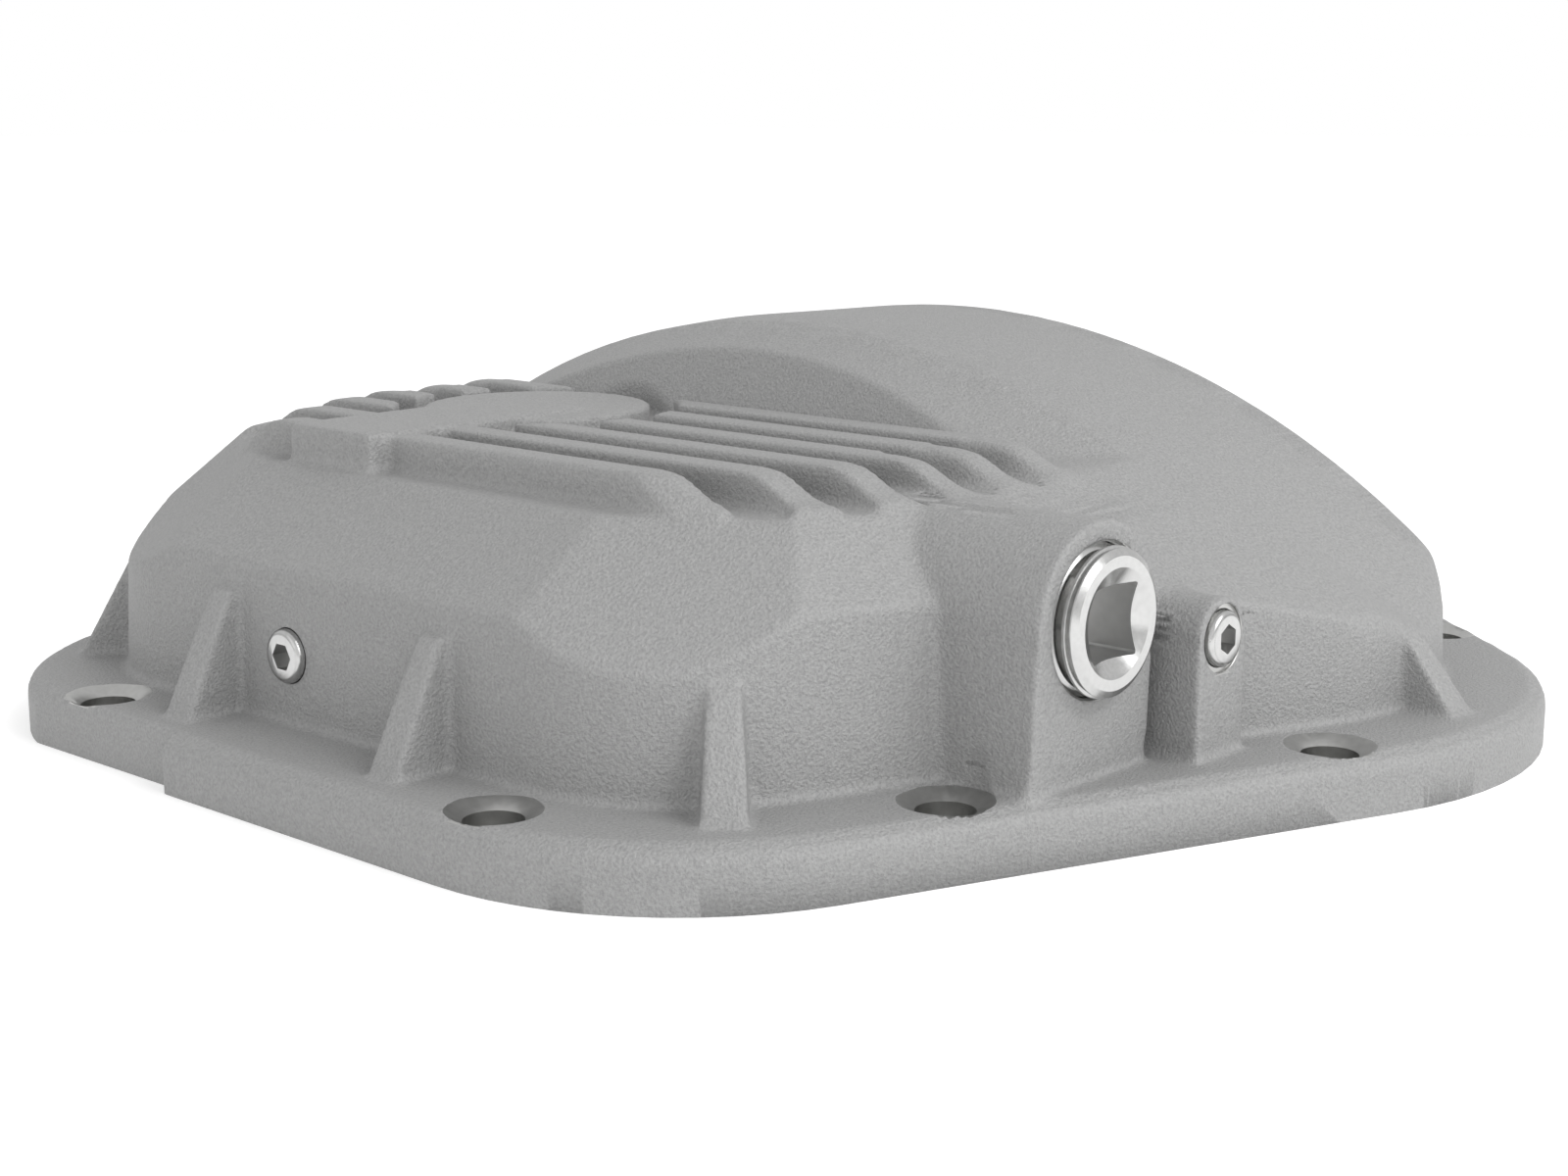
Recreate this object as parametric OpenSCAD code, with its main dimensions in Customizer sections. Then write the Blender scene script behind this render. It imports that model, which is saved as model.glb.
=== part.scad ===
// Differential cover: a finned cast aluminium cover with a bolted mating
// flange, a ring-gear bulge, gusset ribs and four threaded port plugs.
// Millimetres. Z points out of the flange, Y is up as mounted on the axle,
// and the mating face lies at z = 0.

/* [Flange] */
// Overall width of the flange, left to right
flange_width = 290; // [240:1:340]
// Thickness of the flange
flange_thickness = 11.5; // [8:0.5:18]
// Half height of the flange at the mounted right side corner
right_corner_y = 94.2; // [80:0.1:110]
// Half height of the pointed middle of the outline before rounding
apex_y = 173.7; // [150:0.1:190]
// Distance of the pointed middle from the flange centre line
apex_x = -51.2; // [-80:0.1:-20]
// Half height of the corner on the ring-gear side
left_corner_y = 61.9; // [50:0.1:80]
// Rounding radius of the right side corners
right_corner_r = 60; // [30:1:80]
// Rounding radius at the middle
apex_r = 81; // [50:1:100]
// Rounding radius of the ring-gear side corners
left_corner_r = 50; // [20:1:70]
// Edge rounding approximated by this chamfer on the flange top
flange_edge = 2.4; // [0:0.1:4]
// Depth of the step in the right side edge
edge_step = 3.2; // [0:0.1:6]

/* [Bolt holes] */
// Bolt hole diameter
bolt_hole_d = 10.5; // [8:0.1:14]
// Countersink diameter at the flange top
countersink_d = 17.26; // [14:0.1:24]
// Countersink depth
countersink_depth = 1.9; // [0.5:0.1:4]
// Distance of the side holes from the flange side edges
side_hole_inset = 10; // [7:0.1:16]
// Distance of the corner holes from the mounted right side edge
corner_hole_inset = 64; // [50:0.1:75]
// Distance of the middle holes from the mounted right side edge
middle_hole_inset = 137.8; // [110:0.1:160]
// Distance of the shoulder holes from the ring-gear side edge
shoulder_hole_inset = 53; // [40:0.1:65]

/* [Body] */
// Width of the gasket rail, flange edge to wall foot
rail = 19.5; // [14:0.5:28]
// Wall thickness
wall = 6.5; // [4:0.5:10]
// Height of the finned plateau above the flange top
plateau_h = 46; // [35:0.5:60]
// Height of the ring-gear bulge above the flange top
bulge_h = 67.5; // [55:0.1:90]

/* [Fins] */
// Number of cooling fins
fin_count = 6; // [3:1:7]
// Fin pitch
fin_pitch = 14.2; // [10:0.1:20]
// Fin thickness
fin_t = 7; // [4:0.1:9]
// Fin height above the plateau
fin_h = 5.1; // [2:0.1:8]
// Depth of the grooves between the fins below the plateau
groove_sink = 1.8; // [0:0.1:4]
// Length over which each fin end runs down to the plateau
fin_run = 15; // [8:0.5:24]

/* [Ribs] */
// Gusset rib thickness at the top
rib_t = 6; // [4:0.5:8]
// Gusset rib thickness at the foot
rib_foot_t = 8; // [6:0.5:11]
// Height of the two ribs on the mounted right side
side_rib_h = 24; // [15:0.5:30]
// Height of the two ribs on the ring-gear side
gear_rib_h = 20; // [12:0.5:28]
// Height of the corner ribs
corner_rib_h = 21; // [12:0.5:28]
// Height of the ribs at the middle and on the shoulders
end_rib_h = 17; // [10:0.5:24]
// Distance of the side ribs from the centre line
rib_y = 30.5; // [20:0.5:40]

/* [Badge pad] */
// Height of the plain pad above the plateau
pad_h = 5.9; // [5.2:0.1:9]
// Diameter of the round part of the pad
pad_d = 48; // [30:1:54]
// Width of the straight part of the pad
pad_w = 25; // [16:1:36]

/* [Port plugs] */
// Fill and drain plug outer diameter
plug_d = 26.6; // [20:0.1:34]
// Square drive of the fill and drain plugs
plug_drive = 12.7; // [8:0.1:16]
// Length of the fill and drain plugs
plug_len = 17; // [12:0.5:24]
// Small port plug outer diameter
port_d = 10.3; // [8:0.1:14]
// Hex drive of the small plugs, across flats
port_drive = 4.76; // [3:0.01:8]
// Length of the small plugs
port_len = 8; // [6:0.5:12]
// Metal left around the fill and drain ports
boss_wall = 4; // [2:0.1:6]
// Metal left around the top small port
port_boss_wall = 2.4; // [1.5:0.1:5]
// Clearance of each plug in its threaded bore, all round
thread_fit = 0.2; // [0.1:0.05:0.5]

/* [Hidden] */
$fn = 72;

T = flange_thickness;
hw = flange_width / 2;
far = 400;

// flange corner points, counter-clockwise from the lower right
corners = [
  [hw, -right_corner_y, right_corner_r], [hw, right_corner_y, right_corner_r],
  [apex_x, apex_y, apex_r],
  [-hw, left_corner_y, left_corner_r], [-hw, -left_corner_y, left_corner_r],
  [apex_x, -apex_y, apex_r]];

// bolt holes of the upper half, mirrored for the lower half
bolt_holes = [
  [hw - side_hole_inset, 57.1], [hw - corner_hole_inset, 109.3],
  [hw - middle_hole_inset, 139.8], [-hw + shoulder_hole_inset, 110.8],
  [-hw + side_hole_inset, 56]];

// plug ports: centre x, y of the boss face, height of the axis
fill_x = hw - 10 - 79.5;
fill_z = T + 28.3;
boss_y = 120.5;
drain_x = hw - 10 - 108;
drain_y = -129;
drain_z = T + 20;
boss_r = plug_d / 2 + boss_wall;
top_port_x = hw - 10 - 107.5;
top_port_y = 129;
top_port_z = T + 21.5;
port_boss_r = port_d / 2 + port_boss_wall;
axle_drop = 127;
side_port_y = -12.2;
side_port_z = T + 13;
skirt_x = hw - rail;
plug_out = 5;
port_out = 1;
fold_out = 137.5;
foot_out = 118.5;
far_end_short = 4.5;
pad_x = hw - 10 - 90;
pad_y = -30;
plug_mouth_d = 21;
plug_mouth_depth = 4;
plug_chamfer = 1.6;
port_chamfer = 0.8;

function unit(v) = v / norm(v);
function inward(a, b) = [-(b - a)[1], (b - a)[0]] / norm(b - a);
function meet(p, d, q, e) =
  p + d * ((q - p)[0] * e[1] - (q - p)[1] * e[0]) / (d[0] * e[1] - d[1] * e[0]);
function xy(c) = [c[0], c[1]];

// the flange outline moved inward by d, its corners rounded by segments
function outline(d) = [
  for (i = [0:5])
    let (a = xy(corners[(i + 5) % 6]), b = xy(corners[i]), c = xy(corners[(i + 1) % 6]),
      n1 = inward(a, b), n2 = inward(b, c),
      v = meet(a + n1 * d, b - a, b + n2 * d, c - b),
      r = max(corners[i][2] - d, 3),
      m = unit(n1 + n2), cc = v + m * r / (m * n1),
      a1 = atan2(-n1[1], -n1[0]), turn = acos(n1 * n2), steps = ceil(turn / 6))
    for (k = [0:steps]) cc + r * [cos(a1 + turn * k / steps), sin(a1 + turn * k / steps)]];

module slab(d, z, h) translate([0, 0, z]) linear_extrude(h) polygon(outline(d));

// drafted skirt of the body, moved inward by d
module skirt(d) hull() {
  slab(rail + d, -d, 0.01);
  slab(rail + d + 4.6, 88, 0.01);
}

// half space under a plane through p with the upward slope g in x and y
module under(p, g, d) {
  n = unit([-g[0], -g[1], 1]);
  translate(p - n * d) rotate([0, acos(n[2]), atan2(n[1], n[0])])
    translate([-far, -far, -far]) cube([2 * far, 2 * far, far]);
}

// corner facet between the side chamfer and the end slope, raised by up
module facet(side, d, up = 0)
  under([hw - 36.1, side * 69.05, T + 31.3 + up], [-0.754, -0.443 * side, 0], d);

// left roof: plateau, side chamfer, corner facets, end slopes and the axle
// cylinder that it shares with the bulge
module roof(d) intersection() {
  translate([hw - 150, -far / 2, -20]) cube([170, far, T + 20 + plateau_h - d]);
  under([hw - 23, 0, T + 30], [-0.762, 0, 0], d);
  facet(1, d);
  facet(-1, d);
  under([hw - 61, 77.5, T + 46.4], [-0.3436, -0.848, 0], d);
  under([hw - 61, -77.5, T + 46.4], [-0.3436, 0.848, 0], d);
  translate([0, 0, T - axle_drop]) rotate([0, 90, 0])
    cylinder(h = 2 * far, r = axle_drop + bulge_h - d, center = true, $fn = 180);
}

// ring-gear bulge: a body of revolution about the axle line with a fold ring,
// its flank beside the fins trimmed by a steep plane
module bulge(d) {
  top = axle_drop + bulge_h - d;
  intersection() {
    translate([hw - 10, 0, T - axle_drop]) rotate([0, -90, 0])
      rotate_extrude($fn = 180) polygon([
        [0, 112 + d], [top - 10.2, 112 + d], [top - 0.7, fold_out], [top, 150], [top - 1, 200],
        [top - 45, 262 - d], [0, 262 - d]]);
    under([hw - 10 - foot_out, 0, T + 49.7], [-2, 0, 0], d);
  }
}

// straight ramp, tangent to the bulge, down to the skirt at the upper and
// lower end
module ramp(side, d) intersection() {
  translate([hw - 10 - 190, side > 0 ? 98 : -198, -20])
    cube([190 - (hw - 10 - fill_x), 100, T + 70]);
  under([0, side * 100, T + 39.8], [0, -0.6 * side, 0], d);
  under([hw - 10 - 155, side * 100, T + 39.8], [0.35, -0.6 * side, 0], d);
}

module body(d) intersection() {
  skirt(d);
  union() {
    roof(d);
    bulge(d);
    ramp(1, d);
    ramp(-1, d);
  }
}

module tombstone(r, base) {
  circle(r);
  translate([-r, -base]) square([2 * r, base]);
}

// a boss standing off the skirt along +y with its face at y = face
module port_boss(x, z, r, face) translate([x, face, z]) rotate([90, 0, 0])
  linear_extrude(46) tombstone(r, z - T + 0.5);

// gusset rib on the wall at p, turned by a, wider at its foot
module rib(p, a, reach, height) translate([p[0], p[1], T - 0.5]) rotate(a) intersection() {
  rotate([90, 0, 0]) translate([0, 0, -rib_foot_t / 2]) linear_extrude(rib_foot_t)
    polygon([[-12, 0], [reach, 0], [0.8, height], [-12, height]]);
  rotate([90, 0, 90]) translate([0, 0, -14]) linear_extrude(reach + 16)
    polygon([[-rib_foot_t / 2, 0], [rib_foot_t / 2, 0], [rib_t / 2, height], [-rib_t / 2, height]]);
}

// near side of fin i, counted from the mounted right side
function fin_x(i) = hw - 10 - 38 - fin_pitch * i;

// one end of a fin: the run down to the plateau and on into the slopes
fin_end = [[0, 0], [0.2, -0.07], [0.37, -0.24], [0.53, -0.5], [0.7, -0.77], [0.84, -0.92],
  [1, -1], [1.12, -2.4]];

module fin(i) {
  reach = [53.5, 64.5, 71.5, 75, 75.5, 76, 76][i];
  side = [for (e = fin_end) [reach + fin_run * e[0], fin_h + 4 + fin_h * e[1]]];
  translate([fin_x(i) - fin_t, 0, T + plateau_h - 4]) rotate([90, 0, 90]) linear_extrude(fin_t)
    polygon(concat(side, [[0, -6]],
      [for (k = [len(side) - 1:-1:0]) [far_end_short - side[k][0], side[k][1]]]));
}

// groove in front of fin i, round at both ends
module groove(i) {
  reach = [61, 78.4, 85.3, 89.5, 90, 89.9, 89.9][i];
  w = fin_pitch - fin_t;
  translate([fin_x(i) + w / 2, 0, T + plateau_h - groove_sink]) linear_extrude(fin_h + 8) {
    square([w, 2 * reach - w], center = true);
    for (s = [-1, 1]) translate([0, s * (reach - w / 2)]) circle(w / 2);
  }
}

// planes that bring the fin ends down to the corner facet and the end slope
module fin_cap(side) intersection() {
  under([hw - 48, side * 57, T + 47.5], [-1.206, -0.709 * side, 0], 0);
  under([hw - 61, side * 77.5, T + 47.2], [-0.52, -1.27 * side, 0], 0);
}

module fins() intersection() {
  union() for (i = [0:fin_count - 1]) fin(i);
  fin_cap(1);
  fin_cap(-1);
}

module flange() {
  difference() {
    union() {
      slab(0, 0, T - flange_edge);
      slab(flange_edge * 0.3, T - flange_edge, flange_edge * 0.55);
      slab(flange_edge, T - flange_edge * 0.45, flange_edge * 0.45);
    }
    translate([hw - edge_step, -far, -1]) cube([far, far - 24.5, T + 2]);
  }
}

module ribs() for (s = [-1, 1]) {
  rib([skirt_x - 0.3, s * rib_y], 0, 12.5, side_rib_h);
  rib([-skirt_x + 0.3, s * rib_y], 180, 12.5, gear_rib_h);
  rib([hw - 36, s * 85], s * 43, 12.3, corner_rib_h);
  rib([-27.5, s * 135], s * 90, 14.2, end_rib_h);
  rib([-hw + 37, s * 82], s * 140, 13, end_rib_h);
}

// plain raised pad across the fins: a bar that ends in a disc
module badge_pad() translate([0, 0, T + plateau_h - 4]) {
  linear_extrude(pad_h + 4) translate([pad_x, pad_y + 3 - pad_w / 2])
    square([hw - 43 - pad_x, pad_w]);
  translate([pad_x, pad_y, 0]) cylinder(h = pad_h + 3, d = pad_d);
}

// pocket that clears the disc of the pad in the fins and the foot of the bulge
module badge_pocket() translate([pad_x, pad_y, T + plateau_h])
  cylinder(h = 40, d = pad_d + 12);

module cover_casting() color("#a9a9a7") difference() {
  union() {
    difference() {
      union() {
        flange();
        body(0);
        fins();
      }
      for (i = [0:fin_count - 1]) groove(i);
      badge_pocket();
    }
    port_boss(fill_x, fill_z, boss_r, boss_y);
    mirror([0, 1, 0]) port_boss(drain_x, drain_z, boss_r, -drain_y);
    port_boss(top_port_x, top_port_z, port_boss_r, top_port_y);
    badge_pad();
    ribs();
  }
  intersection() {
    body(wall);
    translate([-far, -far, -1]) cube([2 * far, 2 * far, far]);
  }
  bolt_bores();
  port_bores();
}

module bolt_bores() for (h = bolt_holes, s = [-1, 1]) translate([h[0], s * h[1], 0]) {
  translate([0, 0, -1]) cylinder(h = T + 2, d = bolt_hole_d);
  translate([0, 0, T - countersink_depth])
    cylinder(h = countersink_depth + 0.01, d1 = bolt_hole_d, d2 = countersink_d);
  translate([0, 0, T]) cylinder(h = 6, d = countersink_d);
}

module port_bores() {
  translate([fill_x, boss_y, fill_z]) rotate([90, 0, 0]) plug_bore();
  translate([drain_x, drain_y, drain_z]) rotate([-90, 0, 0]) plug_bore();
  translate([top_port_x, top_port_y, top_port_z]) rotate([90, 0, 0])
    translate([0, 0, -1]) cylinder(h = 24, d = port_d + 2 * thread_fit);
  translate([skirt_x + 1, side_port_y, side_port_z]) rotate([0, -90, 0])
    translate([0, 0, -1]) cylinder(h = 24, d = port_d + 2 * thread_fit);
}

// threaded bore with its spot face, cut inward from the boss face
module plug_bore() {
  translate([0, 0, -1]) cylinder(h = 40, d = plug_d + 2 * thread_fit);
  translate([0, 0, -1]) cylinder(h = 2, d = plug_d + 3);
}

// plug pointing its drive along +z, its outer face at z = 0
module square_plug() difference() {
  union() {
    translate([0, 0, -plug_len]) cylinder(h = plug_len - plug_chamfer, d = plug_d);
    translate([0, 0, -plug_chamfer])
      cylinder(h = plug_chamfer, d1 = plug_d, d2 = plug_d - 2 * plug_chamfer);
  }
  translate([0, 0, -11]) linear_extrude(12) square(plug_drive, center = true);
  translate([0, 0, -plug_mouth_depth])
    cylinder(h = plug_mouth_depth + 0.01, d1 = plug_drive, d2 = plug_mouth_d);
}

module hex_plug() difference() {
  union() {
    translate([0, 0, -port_len]) cylinder(h = port_len - port_chamfer, d = port_d);
    translate([0, 0, -port_chamfer])
      cylinder(h = port_chamfer, d1 = port_d, d2 = port_d - 2 * port_chamfer);
  }
  translate([0, 0, -4.5]) cylinder(h = 5, d = port_drive / cos(30), $fn = 6);
}

module fill_plug() color("#cfd0d2")
  translate([fill_x, boss_y + plug_out, fill_z]) rotate([-90, 0, 0]) square_plug();

module drain_plug() color("#cfd0d2")
  translate([drain_x, drain_y - plug_out, drain_z]) rotate([90, 0, 0]) square_plug();

module top_port_plug() color("#c4c5c7")
  translate([top_port_x, top_port_y + port_out, top_port_z]) rotate([-90, 0, 0]) hex_plug();

module side_port_plug() color("#c4c5c7")
  translate([skirt_x + port_out - 0.6, side_port_y, side_port_z]) rotate([0, 90, 0]) hex_plug();

cover_casting();
fill_plug();
drain_plug();
top_port_plug();
side_port_plug();
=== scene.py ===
# Differential cover: a sand-cast aluminium cover seen from its upper right,
# with bright steel plugs, on a white studio ground.
import math

import bpy
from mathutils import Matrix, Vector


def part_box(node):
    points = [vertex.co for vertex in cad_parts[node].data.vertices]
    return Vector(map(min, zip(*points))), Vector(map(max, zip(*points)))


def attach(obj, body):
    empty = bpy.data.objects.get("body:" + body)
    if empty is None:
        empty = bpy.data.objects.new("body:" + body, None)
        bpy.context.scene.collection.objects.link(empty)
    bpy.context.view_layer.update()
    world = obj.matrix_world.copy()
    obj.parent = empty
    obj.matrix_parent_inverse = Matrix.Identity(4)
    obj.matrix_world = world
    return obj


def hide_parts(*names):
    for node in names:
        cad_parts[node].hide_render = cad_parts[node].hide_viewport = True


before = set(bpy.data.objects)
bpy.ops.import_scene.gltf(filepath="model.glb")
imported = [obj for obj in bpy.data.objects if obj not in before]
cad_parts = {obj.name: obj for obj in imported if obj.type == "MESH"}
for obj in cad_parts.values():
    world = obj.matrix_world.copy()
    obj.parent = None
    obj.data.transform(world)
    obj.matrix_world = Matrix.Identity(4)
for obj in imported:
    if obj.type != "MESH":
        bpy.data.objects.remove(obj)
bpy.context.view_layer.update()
bpy.ops.object.select_all(action="DESELECT")
bpy.context.scene.view_settings.view_transform = "Standard"

# Camera of the photograph: a 54 mm lens, 116 mm above the flange top,
# looking down a little across the corner with the fill port.
flange_top = 0.0115
bpy.ops.object.camera_add(
    location=(0.3812, 0.3429, flange_top + 0.1157),
    rotation=(math.radians(90 - 11.84), 0, math.radians(131.96)),
)
camera = bpy.context.object
camera.name = "photo_camera"
camera.data.lens = 54.3
camera.data.sensor_width = 36
camera.data.clip_start = 0.01
bpy.context.scene.camera = camera

# Cover casting: sand-cast aluminium, about 6.5 mm thick, shot blasted after
# casting. Its edges and the roots of its ribs and fins are rounded by the
# mould, while the joint face, bolt holes and ports are cut on a machine.
cast_node = bpy.data.objects["cover_casting"]
cover = bpy.data.objects.new("cover_body", cast_node.data.copy())
bpy.context.collection.objects.link(cover)
cover.select_set(True)
bpy.context.view_layer.objects.active = cover
bpy.ops.object.mode_set(mode="EDIT")
bpy.ops.mesh.select_all(action="SELECT")
bpy.ops.mesh.remove_doubles(threshold=1e-6)
bpy.ops.mesh.select_all(action="DESELECT")
bpy.ops.object.mode_set(mode="OBJECT")

# the joint face is cast proud and milled off later
for vertex in cover.data.vertices:
    vertex.select = vertex.co.z < 1e-5
bpy.ops.object.mode_set(mode="EDIT")
bpy.ops.transform.translate(value=(0, 0, -0.004))
bpy.ops.object.mode_set(mode="OBJECT")

# the ten bolt holes are cast solid and drilled later, so each gets a core
# that fills the hole and one that fills its countersink
hole_radius = 0.00525
sink_radius = 0.00863
sink_depth = 0.0019
bolt_holes = [
    (x, side * y)
    for x, y in ((0.135, 0.0571), (0.081, 0.1093), (0.0072, 0.1398), (-0.092, 0.1108), (-0.135, 0.056))
    for side in (1, -1)
]
cores = [cover]
for x, y in bolt_holes:
    bpy.ops.mesh.primitive_cylinder_add(
        vertices=32, radius=hole_radius + 0.0004, depth=flange_top + 0.0015,
        location=(x, y, (flange_top - 0.0042) / 2),
    )
    cores.append(bpy.context.object)
    bpy.ops.mesh.primitive_cone_add(
        vertices=32, radius1=hole_radius, radius2=0.0078, depth=sink_depth,
        location=(x, y, flange_top - sink_depth / 2),
    )
    cores.append(bpy.context.object)

# the four ports lie where their plugs are
fill_box, drain_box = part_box("fill_plug"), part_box("drain_plug")
top_box, side_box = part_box("top_port_plug"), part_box("side_port_plug")
fill_x = (fill_box[0][0] + fill_box[1][0]) / 2
fill_z = (fill_box[0][2] + fill_box[1][2]) / 2
drain_x = (drain_box[0][0] + drain_box[1][0]) / 2
drain_z = (drain_box[0][2] + drain_box[1][2]) / 2
top_x = (top_box[0][0] + top_box[1][0]) / 2
top_z = (top_box[0][2] + top_box[1][2]) / 2
side_y = (side_box[0][1] + side_box[1][1]) / 2
side_z = (side_box[0][2] + side_box[1][2]) / 2
plug_radius = (fill_box[1][0] - fill_box[0][0]) / 2
port_radius = (top_box[1][0] - top_box[0][0]) / 2
plug_stands_out = 0.0036
fill_face = fill_box[1][1] - plug_stands_out
drain_face = drain_box[0][1] + plug_stands_out
top_face = top_box[1][1] - 0.001
side_face = side_box[1][0] - 0.0004

# the flat faces of the two large bosses lean out as they rise to the port
boss_lean = 0.0014
boss_half_width = 0.02
for x, z, side, face in ((fill_x, fill_z, 1, fill_face), (drain_x, drain_z, -1, drain_face)):
    for vertex in cover.data.vertices:
        co = vertex.co
        if abs(co.x - x) < boss_half_width and abs(co.y - face + boss_lean * side) < 1e-5:
            co.y += side * boss_lean * min(max((co.z - flange_top) / (z - flange_top), 0), 1)

# the ports are cast solid too: the centre, radius, depth and direction of
# the core that fills each one up to just behind its face
ports = [
    (fill_x, fill_face - 0.0115, fill_z, plug_radius + 0.0019, 0.0229, "Y"),
    (drain_x, drain_face + 0.0115, drain_z, plug_radius + 0.0019, 0.0229, "Y"),
    (top_x, top_face - 0.007, top_z, port_radius + 0.0004, 0.0138, "Y"),
    (side_face - 0.005, side_y, side_z, port_radius + 0.0004, 0.0078, "X"),
]
for x, y, z, radius, depth, along in ports:
    turn = (math.radians(90), 0, 0) if along == "Y" else (0, math.radians(90), 0)
    bpy.ops.mesh.primitive_cylinder_add(
        vertices=48, radius=radius, depth=depth, location=(x, y, z), rotation=turn
    )
    cores.append(bpy.context.object)
for core in cores:
    core.select_set(True)
bpy.context.view_layer.objects.active = cover
bpy.ops.object.join()

# the mould rounds every edge and root a little
cover.data.remesh_voxel_size = 0.001
cover.data.remesh_voxel_adaptivity = 0
bpy.ops.object.voxel_remesh()
bpy.ops.object.mode_set(mode="EDIT")
bpy.ops.mesh.select_all(action="SELECT")
bpy.ops.mesh.vertices_smooth(factor=0.5, repeat=3)
bpy.ops.mesh.select_all(action="DESELECT")
bpy.ops.object.mode_set(mode="OBJECT")

# the fin ends are blended further by hand where they run out on the slope,
# and so is the valley between the two upper port bosses
for vertex in cover.data.vertices:
    x, y, z = vertex.co
    fin_end = 0.004 < x < 0.052 and 0.068 < abs(y) < 0.111 and z > 0.0475
    valley = 0.019 < x < 0.039 and 0.112 < abs(y) < 0.127 and 0.031 < z < 0.046
    vertex.select = fin_end or valley
bpy.ops.object.mode_set(mode="EDIT")
bpy.ops.mesh.vertices_smooth(factor=0.5, repeat=14)
bpy.ops.mesh.select_all(action="DESELECT")
bpy.ops.object.mode_set(mode="OBJECT")

# the bulge is a smooth form with only soft folds
for vertex in cover.data.vertices:
    vertex.select = vertex.co.x < -0.009 and vertex.co.z > flange_top + 0.014
bpy.ops.object.mode_set(mode="EDIT")
bpy.ops.mesh.vertices_smooth(factor=0.5, repeat=24)
bpy.ops.object.mode_set(mode="OBJECT")

# thinned out, but not on the crest of the bulge, where it would show
crest_off = cover.vertex_groups.new(name="away_from_crest")
crest_off.add(
    [v.index for v in cover.data.vertices
     if not (-0.090 < v.co.x < -0.040 and v.co.z > 0.030 and v.normal.z > 0.2)],
    1.0, "REPLACE",
)
thinned = cover.modifiers.new("thinned", "DECIMATE")
thinned.vertex_group = crest_off.name
thinned.ratio = 0.35
bpy.ops.object.modifier_apply(modifier=thinned.name)

# cutters of the machining: the face mill, then a drill, a countersink and
# the room for a bolt head at each hole
bpy.ops.object.select_all(action="DESELECT")
cutters = []
bpy.ops.mesh.primitive_cube_add(size=1, location=(0, 0, -0.01), scale=(0.4, 0.4, 0.02))
cutters.append(bpy.context.object)
for x, y in bolt_holes:
    bpy.ops.mesh.primitive_cylinder_add(
        vertices=64, radius=hole_radius, depth=0.03, location=(x, y, 0.004)
    )
    cutters.append(bpy.context.object)
    bpy.ops.mesh.primitive_cone_add(
        vertices=64, radius1=hole_radius - 0.0002, radius2=sink_radius, depth=sink_depth + 0.0001,
        location=(x, y, flange_top - sink_depth / 2),
    )
    cutters.append(bpy.context.object)
    bpy.ops.mesh.primitive_cylinder_add(
        vertices=64, radius=sink_radius, depth=0.004, location=(x, y, flange_top + 0.002)
    )
    cutters.append(bpy.context.object)

# port drills: centre, radius, depth and direction of each, all reaching out
# past the face, with a shallow wider one at the small boss
taps = [
    (fill_x, fill_face - 0.017, fill_z, plug_radius + 0.0002, 0.04, "Y"),
    (drain_x, drain_face + 0.017, drain_z, plug_radius + 0.0002, 0.04, "Y"),
    (top_x, top_face - 0.009, top_z, port_radius + 0.0002, 0.024, "Y"),
    (top_x, top_face + 0.001, top_z, port_radius + 0.0011, 0.0032, "Y"),
    (side_face - 0.009, side_y, side_z, port_radius + 0.0002, 0.024, "X"),
]
for x, y, z, radius, depth, along in taps:
    turn = (math.radians(90), 0, 0) if along == "Y" else (0, math.radians(90), 0)
    bpy.ops.mesh.primitive_cylinder_add(
        vertices=96, radius=radius, depth=depth, location=(x, y, z), rotation=turn
    )
    cutters.append(bpy.context.object)

# the two large ports have a chamfered mouth
for x, y, z, side in ((fill_x, fill_face, fill_z, -1), (drain_x, drain_face, drain_z, 1)):
    bpy.ops.mesh.primitive_cone_add(
        vertices=96, radius1=plug_radius - 0.0003, radius2=plug_radius + 0.0023, depth=0.0026,
        location=(x, y - side * 0.0003, z), rotation=(math.radians(90 * side), 0, 0),
    )
    cutters.append(bpy.context.object)

bpy.ops.object.select_all(action="DESELECT")
cover.select_set(True)
bpy.context.view_layer.objects.active = cover
for cutter in cutters:
    cut = cover.modifiers.new("cut", "BOOLEAN")
    cut.operation = "DIFFERENCE"
    cut.solver = "MANIFOLD"
    cut.object = cutter
    bpy.ops.object.modifier_apply(modifier=cut.name)
    bpy.data.objects.remove(cutter)
bpy.ops.object.transform_apply(location=True, rotation=True, scale=True)
bpy.ops.object.shade_smooth_by_angle(angle=math.radians(32))

# sand grain of the mould: fine bumps with a coarser unevenness under them
grain = bpy.data.node_groups.new("sand_cast_grain", "ShaderNodeTree")
grain.interface.new_socket("Vector", in_out="INPUT", socket_type="NodeSocketVector")
for name, value in (("Grain size", 0.0008), ("Depth", 0.5)):
    socket = grain.interface.new_socket(name, in_out="INPUT", socket_type="NodeSocketFloat")
    socket.default_value = value
grain.interface.new_socket("Mottle", in_out="OUTPUT", socket_type="NodeSocketFloat")
grain.interface.new_socket("Normal", in_out="OUTPUT", socket_type="NodeSocketVector")
g_in = grain.nodes.new("NodeGroupInput")
g_out = grain.nodes.new("NodeGroupOutput")
g_rate = grain.nodes.new("ShaderNodeMath")
g_rate.operation = "DIVIDE"
g_rate.inputs[0].default_value = 1.0
grain.links.new(g_in.outputs["Grain size"], g_rate.inputs[1])
g_fine = grain.nodes.new("ShaderNodeTexNoise")
g_fine.inputs["Detail"].default_value = 2.5
g_fine.inputs["Roughness"].default_value = 0.55
g_soft = grain.nodes.new("ShaderNodeTexNoise")
g_soft.inputs["Scale"].default_value = 90
g_soft.inputs["Detail"].default_value = 2
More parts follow.
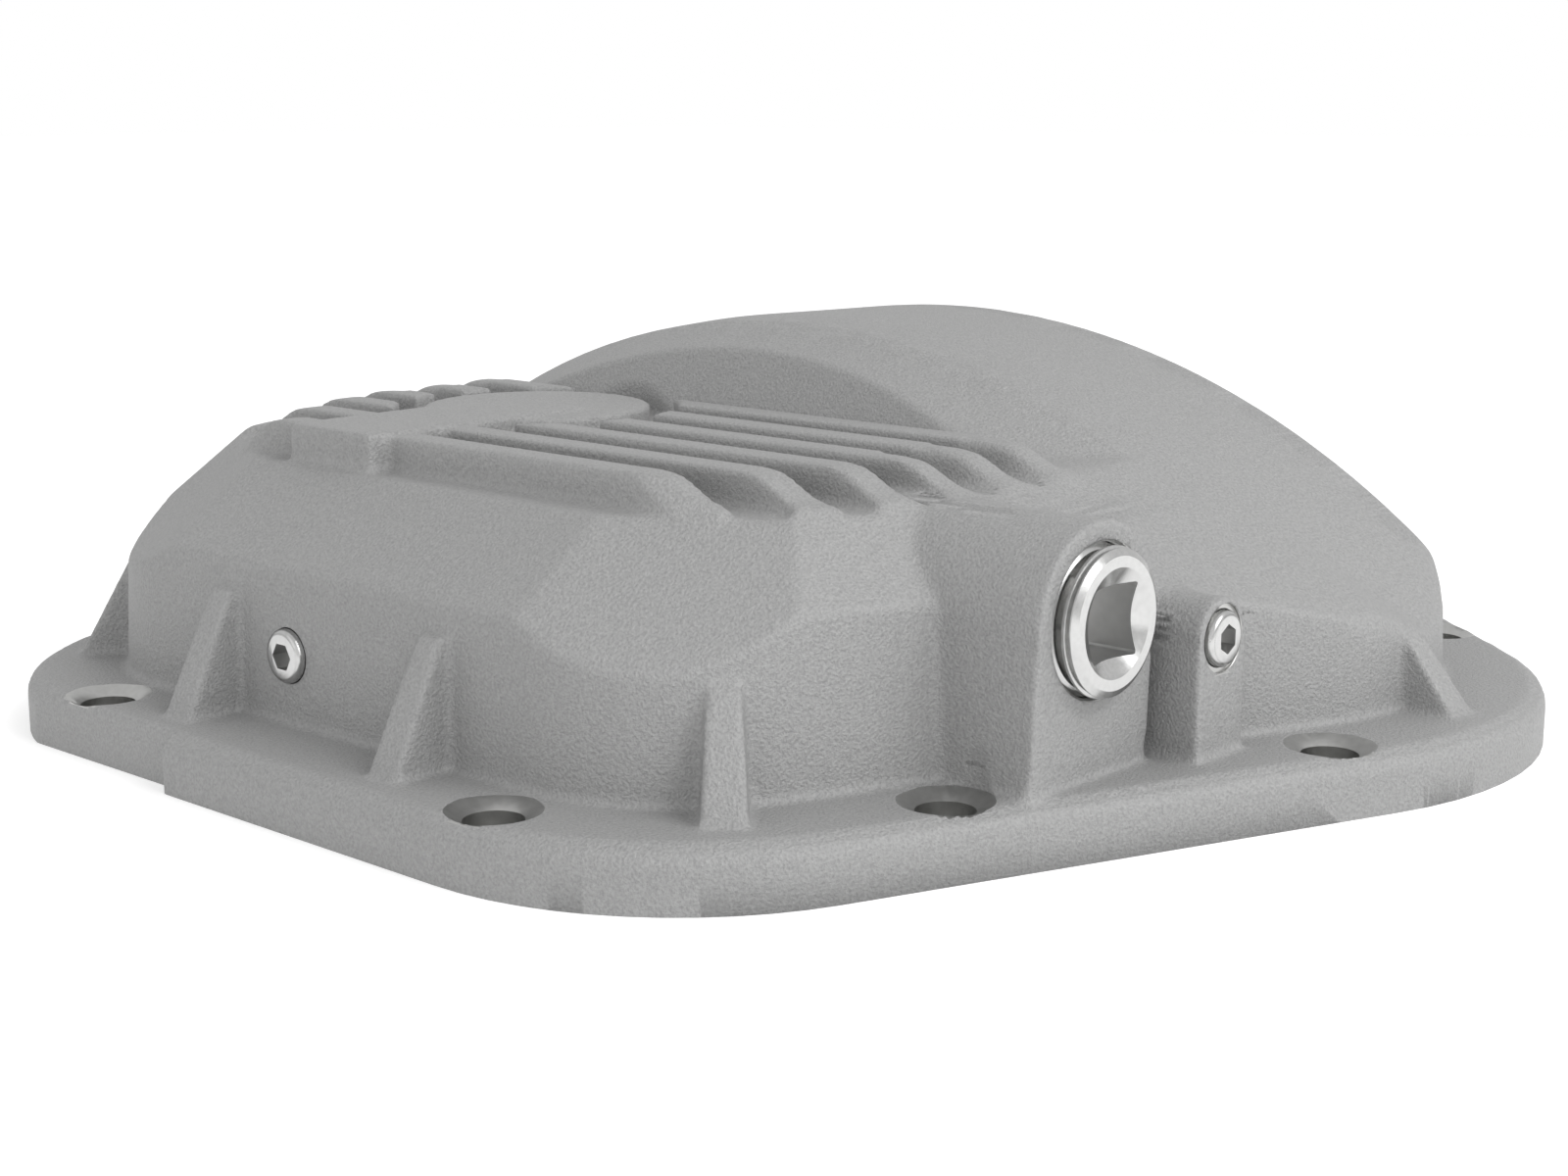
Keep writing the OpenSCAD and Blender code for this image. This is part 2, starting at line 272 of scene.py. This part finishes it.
grain.links.new(g_in.outputs["Vector"], g_fine.inputs["Vector"])
grain.links.new(g_rate.outputs[0], g_fine.inputs["Scale"])
grain.links.new(g_in.outputs["Vector"], g_soft.inputs["Vector"])
g_sum = grain.nodes.new("ShaderNodeMath")
g_sum.operation = "MULTIPLY_ADD"
g_sum.inputs[1].default_value = 0.25
grain.links.new(g_soft.outputs["Fac"], g_sum.inputs[0])
grain.links.new(g_fine.outputs["Fac"], g_sum.inputs[2])
g_bump = grain.nodes.new("ShaderNodeBump")
g_bump.inputs["Distance"].default_value = 0.0004
grain.links.new(g_in.outputs["Depth"], g_bump.inputs["Strength"])
grain.links.new(g_sum.outputs[0], g_bump.inputs["Height"])
grain.links.new(g_bump.outputs["Normal"], g_out.inputs["Normal"])
grain.links.new(g_fine.outputs["Fac"], g_out.inputs["Mottle"])

cast_skin = bpy.data.materials.new("blasted_cast_aluminium")
cast_skin.use_nodes = True
nodes, links = cast_skin.node_tree.nodes, cast_skin.node_tree.links
skin = nodes["Principled BSDF"]
skin.inputs["Metallic"].default_value = 0.25
skin.inputs["Roughness"].default_value = 0.62
where = nodes.new("ShaderNodeTexCoord")
sand = nodes.new("ShaderNodeGroup")
sand.node_tree = grain
sand.inputs["Grain size"].default_value = 0.00055
sand.inputs["Depth"].default_value = 0.9
links.new(where.outputs["Object"], sand.inputs["Vector"])
tone = nodes.new("ShaderNodeValToRGB")
tone.color_ramp.elements[0].position = 0.3
tone.color_ramp.elements[0].color = (0.30, 0.30, 0.30, 1)
tone.color_ramp.elements[1].position = 0.7
tone.color_ramp.elements[1].color = (0.40, 0.40, 0.398, 1)
links.new(sand.outputs["Mottle"], tone.inputs["Fac"])
links.new(tone.outputs["Color"], skin.inputs["Base Color"])
links.new(sand.outputs["Normal"], skin.inputs["Normal"])
cover.data.materials.clear()
cover.data.materials.append(cast_skin)

# freshly cut metal in the holes, the countersinks and on the joint face
cut_metal = bpy.data.materials.new("machined_aluminium")
cut_metal.use_nodes = True
nodes, links = cut_metal.node_tree.nodes, cut_metal.node_tree.links
shine = nodes["Principled BSDF"]
shine.inputs["Metallic"].default_value = 1.0
where = nodes.new("ShaderNodeTexCoord")
marks = nodes.new("ShaderNodeTexNoise")
marks.inputs["Scale"].default_value = 600
marks.inputs["Detail"].default_value = 3
links.new(where.outputs["Object"], marks.inputs["Vector"])
cut_tone = nodes.new("ShaderNodeValToRGB")
cut_tone.color_ramp.elements[0].color = (0.42, 0.42, 0.41, 1)
cut_tone.color_ramp.elements[1].color = (0.6, 0.6, 0.59, 1)
links.new(marks.outputs["Fac"], cut_tone.inputs["Fac"])
links.new(cut_tone.outputs["Color"], shine.inputs["Base Color"])
cut_rough = nodes.new("ShaderNodeMapRange")
cut_rough.inputs["To Min"].default_value = 0.24
cut_rough.inputs["To Max"].default_value = 0.38
links.new(marks.outputs["Fac"], cut_rough.inputs["Value"])
links.new(cut_rough.outputs["Result"], shine.inputs["Roughness"])
cover.data.materials.append(cut_metal)
for face in cover.data.polygons:
    c = face.center
    face.material_index = 0
    if c.z < 1e-5:
        face.material_index = 1
    elif c.z < flange_top + 1e-5 and face.normal.z < 0.95:
        below = max(sink_depth - (flange_top - c.z), 0) / sink_depth
        cut_radius = hole_radius + (sink_radius - hole_radius) * below
        for x, y in bolt_holes:
            if abs(math.hypot(c.x - x, c.y - y) - cut_radius) < 0.0003:
                face.material_index = 1

# in the ports, the drilled walls and the chamfers of the two large mouths
mouths = [
    (fill_x, fill_face, fill_z, plug_radius + 0.0011, 0.004, "Y"),
    (drain_x, drain_face, drain_z, plug_radius + 0.0011, 0.004, "Y"),
]
for port in taps + mouths:
    x, y, z, radius, depth, along = port
    for face in cover.data.polygons:
        boss_face = abs(face.normal.y) > 0.85
        if port in mouths and boss_face:
            continue
        c = face.center
        off = math.hypot(c.x - x, c.z - z) if along == "Y" else math.hypot(c.y - y, c.z - z)
        reach = abs(c.y - y) if along == "Y" else abs(c.x - x)
        if off < radius + 2e-5 and reach < depth / 2 + 2e-5:
            face.material_index = 1
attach(cover, "root")
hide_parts("cover_casting")

# Fill plug: a bright turned steel pipe plug with a half inch square drive.
# Its rim is chamfered, a tool groove runs round behind it, and the first
# threads show where it goes down into the chamfered mouth of the port.
plug_length = fill_box[1][1] - fill_box[0][1]
drive_width = 0.0127
cone_mouth, cone_floor, cone_depth = 0.0096, 0.0062, 0.0018
bpy.ops.mesh.primitive_circle_add(vertices=96, radius=cone_mouth, fill_type="NOTHING")
fill_plug = bpy.context.object
fill_plug.name = "fill_plug_turned"
bpy.ops.object.mode_set(mode="EDIT")
bpy.ops.mesh.select_all(action="SELECT")
# radius and height from the front face back: rim, groove, collar, threads
rings = [
    (0.01155, 0.0), (0.0128, -0.0007), (0.0128, -0.0010), (0.0121, -0.0012), (0.0121, -0.0014),
    (0.0131, -0.0018), (0.0131, -0.0023), (0.0121, -0.0029), (0.0121, -0.0046),
    (plug_radius, -0.0054), (plug_radius - 0.0009, -0.0062), (plug_radius, -0.0071),
    (plug_radius - 0.0009, -0.0080), (plug_radius, -0.0089), (plug_radius - 0.0009, -0.0098),
    (plug_radius - 0.0003, -plug_length),
]
radius_now, height_now = cone_mouth, 0.0
for radius, height in rings:
    bpy.ops.mesh.extrude_region_move(TRANSFORM_OT_translate={"value": (0, 0, height - height_now)})
    factor = radius / radius_now
    bpy.ops.transform.resize(value=(factor, factor, 1), center_override=(0, 0, 0))
    radius_now, height_now = radius, height
bpy.ops.mesh.edge_face_add()
bpy.ops.mesh.select_all(action="DESELECT")
bpy.ops.object.mode_set(mode="OBJECT")

# the lead-in cone of the square drive, and the square itself
for edge in fill_plug.data.edges:
    ends = [fill_plug.data.vertices[i].co for i in edge.vertices]
    edge.select = all(abs(co.z) < 1e-6 and co.xy.length < cone_mouth + 1e-4 for co in ends)
bpy.ops.object.mode_set(mode="EDIT")
bpy.ops.mesh.extrude_region_move(TRANSFORM_OT_translate={"value": (0, 0, -cone_depth)})
factor = cone_floor / cone_mouth
bpy.ops.transform.resize(value=(factor, factor, 1), center_override=(0, 0, 0))
bpy.ops.mesh.edge_face_add()
bpy.ops.mesh.select_all(action="SELECT")
bpy.ops.mesh.normals_make_consistent(inside=False)
bpy.ops.object.mode_set(mode="OBJECT")
bpy.ops.object.select_all(action="DESELECT")
bpy.ops.mesh.primitive_cube_add(
    size=1, location=(0, 0, -0.005), scale=(drive_width, drive_width, 0.012)
)
drive = bpy.context.object
bpy.ops.object.transform_apply(location=True, rotation=True, scale=True)
round_off = drive.modifiers.new("corners", "BEVEL")
round_off.width = 0.0006
round_off.segments = 2
bpy.ops.object.modifier_apply(modifier=round_off.name)
bpy.ops.object.select_all(action="DESELECT")
fill_plug.select_set(True)
bpy.context.view_layer.objects.active = fill_plug
cut = fill_plug.modifiers.new("drive", "BOOLEAN")
cut.operation = "DIFFERENCE"
cut.solver = "MANIFOLD"
cut.object = drive
bpy.ops.object.modifier_apply(modifier=cut.name)
bpy.data.objects.remove(drive)
bpy.ops.object.shade_smooth_by_angle(angle=math.radians(14))

plug_steel = bpy.data.materials.new("bright_turned_steel")
plug_steel.use_nodes = True
nodes, links = plug_steel.node_tree.nodes, plug_steel.node_tree.links
steel = nodes["Principled BSDF"]
steel.inputs["Metallic"].default_value = 1.0
where = nodes.new("ShaderNodeTexCoord")
lines = nodes.new("ShaderNodeTexNoise")
lines.inputs["Scale"].default_value = 900
lines.inputs["Detail"].default_value = 3
links.new(where.outputs["Object"], lines.inputs["Vector"])
steel_tone = nodes.new("ShaderNodeValToRGB")
steel_tone.color_ramp.elements[0].color = (0.5, 0.5, 0.495, 1)
steel_tone.color_ramp.elements[1].color = (0.64, 0.64, 0.635, 1)
links.new(lines.outputs["Fac"], steel_tone.inputs["Fac"])
links.new(steel_tone.outputs["Color"], steel.inputs["Base Color"])
steel_rough = nodes.new("ShaderNodeMapRange")
steel_rough.inputs["To Min"].default_value = 0.16
steel_rough.inputs["To Max"].default_value = 0.28
links.new(lines.outputs["Fac"], steel_rough.inputs["Value"])
links.new(steel_rough.outputs["Result"], steel.inputs["Roughness"])
fill_plug.data.materials.clear()
fill_plug.data.materials.append(plug_steel)

# broached sockets are duller and keep a little oil
socket_steel = bpy.data.materials.new("oiled_broached_steel")
socket_steel.use_nodes = True
nodes, links = socket_steel.node_tree.nodes, socket_steel.node_tree.links
dull = nodes["Principled BSDF"]
dull.inputs["Metallic"].default_value = 1.0
dull.inputs["Roughness"].default_value = 0.34
where = nodes.new("ShaderNodeTexCoord")
film = nodes.new("ShaderNodeTexNoise")
film.inputs["Scale"].default_value = 400
film.inputs["Detail"].default_value = 3
links.new(where.outputs["Object"], film.inputs["Vector"])
film_tone = nodes.new("ShaderNodeValToRGB")
film_tone.color_ramp.elements[0].color = (0.56, 0.56, 0.555, 1)
film_tone.color_ramp.elements[1].color = (0.7, 0.7, 0.695, 1)
links.new(film.outputs["Fac"], film_tone.inputs["Fac"])
links.new(film_tone.outputs["Color"], dull.inputs["Base Color"])
fill_plug.data.materials.append(socket_steel)
for face in fill_plug.data.polygons:
    c = face.center
    in_drive = max(abs(c.x), abs(c.y)) < drive_width / 2 + 2e-5 and -0.012 < c.z < -1e-4
    face.material_index = int(in_drive)

# Drain plug: the same plug in the lower side of the cover.
drain_plug = fill_plug.copy()
drain_plug.data = fill_plug.data.copy()
drain_plug.name = "drain_plug_turned"
bpy.context.collection.objects.link(drain_plug)
for plug, place, turn in (
    (fill_plug, (fill_x, fill_box[1][1], fill_z), math.radians(-90)),
    (drain_plug, (drain_x, drain_box[0][1], drain_z), math.radians(90)),
):
    bpy.ops.object.select_all(action="DESELECT")
    plug.select_set(True)
    bpy.context.view_layer.objects.active = plug
    plug.rotation_euler = (turn, 0, 0)
    plug.location = place
    bpy.ops.object.transform_apply(location=True, rotation=True, scale=True)
    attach(plug, "root")
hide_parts("fill_plug")
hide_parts("drain_plug")

# Small port plugs: eighth inch pipe plugs with a hex socket, one in the boss
# beside the fill port and one flush in the right side wall.
small_length = 0.008
hex_width = 0.00476
hex_depth = 0.0045
bpy.ops.mesh.primitive_cylinder_add(
    vertices=64, radius=port_radius, depth=small_length, location=(0, 0, -small_length / 2)
)
top_plug = bpy.context.object
top_plug.name = "top_port_plug_turned"
bpy.ops.object.transform_apply(location=True, rotation=True, scale=True)
for edge in top_plug.data.edges:
    edge.select = all(top_plug.data.vertices[i].co.z > -1e-6 for i in edge.vertices)
bpy.ops.object.mode_set(mode="EDIT")
bpy.ops.mesh.bevel(offset=0.0011, segments=4)
bpy.ops.object.mode_set(mode="OBJECT")
bpy.ops.object.select_all(action="DESELECT")
hex_radius = hex_width / 2 / math.cos(math.radians(30))
bpy.ops.mesh.primitive_cylinder_add(
    vertices=6, radius=hex_radius, depth=2 * hex_depth, location=(0, 0, 0)
)
key = bpy.context.object
bpy.ops.object.transform_apply(location=True, rotation=True, scale=True)
bpy.ops.object.select_all(action="DESELECT")
top_plug.select_set(True)
bpy.context.view_layer.objects.active = top_plug
cut = top_plug.modifiers.new("socket", "BOOLEAN")
cut.operation = "DIFFERENCE"
cut.solver = "MANIFOLD"
cut.object = key
bpy.ops.object.modifier_apply(modifier=cut.name)
bpy.data.objects.remove(key)
bpy.ops.object.shade_smooth_by_angle(angle=math.radians(30))
top_plug.data.materials.clear()
top_plug.data.materials.append(plug_steel)
top_plug.data.materials.append(socket_steel)
for face in top_plug.data.polygons:
    c = face.center
    in_hex = c.xy.length < hex_radius - 1e-6 and -hex_depth - 2e-4 < c.z < -1e-4
    face.material_index = int(in_hex)

side_plug = top_plug.copy()
side_plug.data = top_plug.data.copy()
side_plug.name = "side_port_plug_turned"
bpy.context.collection.objects.link(side_plug)
for plug, place, turn in (
    (top_plug, (top_x, top_box[1][1], top_z), (math.radians(-90), 0, 0)),
    (side_plug, (side_box[1][0], side_y, side_z), (0, math.radians(90), 0)),
):
    bpy.ops.object.select_all(action="DESELECT")
    plug.select_set(True)
    bpy.context.view_layer.objects.active = plug
    plug.rotation_euler = turn
    plug.location = place
    bpy.ops.object.transform_apply(location=True, rotation=True, scale=True)
    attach(plug, "root")
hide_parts("top_port_plug")
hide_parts("side_port_plug")

# Studio: a white ground that keeps the cover's soft shadow, a large soft
# lamp from the upper right, two weak ones in front and left, a pale sky.
bpy.ops.object.select_all(action="DESELECT")
bpy.ops.mesh.primitive_plane_add(size=12, location=(0, 0, 0))
ground = bpy.context.object
ground.name = "studio_ground"
paper = bpy.data.materials.new("white_paper")
paper.use_nodes = True
nodes, links = paper.node_tree.nodes, paper.node_tree.links
nodes.remove(nodes["Principled BSDF"])
matt = nodes.new("ShaderNodeBsdfDiffuse")
matt.inputs["Color"].default_value = (0.88, 0.88, 0.88, 1)
glow = nodes.new("ShaderNodeEmission")
glow.inputs["Color"].default_value = (1, 1, 1, 1)
seen = nodes.new("ShaderNodeLightPath")
mirrored = nodes.new("ShaderNodeMath")
mirrored.operation = "MAXIMUM"
links.new(seen.outputs["Is Glossy Ray"], mirrored.inputs[0])
links.new(seen.outputs["Is Transmission Ray"], mirrored.inputs[1])
direct = nodes.new("ShaderNodeMath")
direct.operation = "MAXIMUM"
links.new(seen.outputs["Is Camera Ray"], direct.inputs[0])
links.new(mirrored.outputs[0], direct.inputs[1])
strength = nodes.new("ShaderNodeMath")
strength.operation = "MULTIPLY"
strength.inputs[1].default_value = 0.36
links.new(direct.outputs[0], strength.inputs[0])
links.new(strength.outputs[0], glow.inputs["Strength"])
both = nodes.new("ShaderNodeAddShader")
links.new(matt.outputs[0], both.inputs[0])
links.new(glow.outputs[0], both.inputs[1])
links.new(both.outputs[0], nodes["Material Output"].inputs["Surface"])
ground.data.materials.append(paper)

sky = bpy.data.worlds.new("studio_sky")
bpy.context.scene.world = sky
sky.use_nodes = True
nodes, links = sky.node_tree.nodes, sky.node_tree.links
lit = nodes["Background"]
lit.inputs["Color"].default_value = (1, 1, 1, 1)
lit.inputs["Strength"].default_value = 0.76
shown = nodes.new("ShaderNodeBackground")
shown.inputs["Color"].default_value = (1, 1, 1, 1)
shown.inputs["Strength"].default_value = 1.0
path = nodes.new("ShaderNodeLightPath")
bounced = nodes.new("ShaderNodeMath")
bounced.operation = "MAXIMUM"
links.new(path.outputs["Is Camera Ray"], bounced.inputs[0])
links.new(path.outputs["Is Transmission Ray"], bounced.inputs[1])
pick = nodes.new("ShaderNodeMixShader")
links.new(bounced.outputs[0], pick.inputs["Fac"])
links.new(lit.outputs[0], pick.inputs[1])
links.new(shown.outputs[0], pick.inputs[2])
links.new(pick.outputs[0], nodes["World Output"].inputs["Surface"])

# the lamps are squares of one size, all aimed near the cover's middle
lamp_size = 0.8
lamp_aim = (0, 0.05, 0.03)
for name, place, power in (
    ("right_softbox", (-0.1, 1.0, 0.8), 8),
    ("front_softbox", (0.9, 0.8, 0.4), 0.4),
    ("left_fill", (1.1, -0.15, 0.45), 0.7),
):
    bpy.ops.object.light_add(type="AREA", location=place)
    lamp = bpy.context.object
    lamp.name = name
    lamp.data.shape = "SQUARE"
    lamp.data.size = lamp_size
    lamp.data.energy = power
    dx, dy, dz = (lamp_aim[i] - place[i] for i in range(3))
    flat = math.hypot(dx, dy)
    lamp.rotation_euler = (math.atan2(flat, -dz), 0, math.atan2(dy, dx) - math.pi / 2)
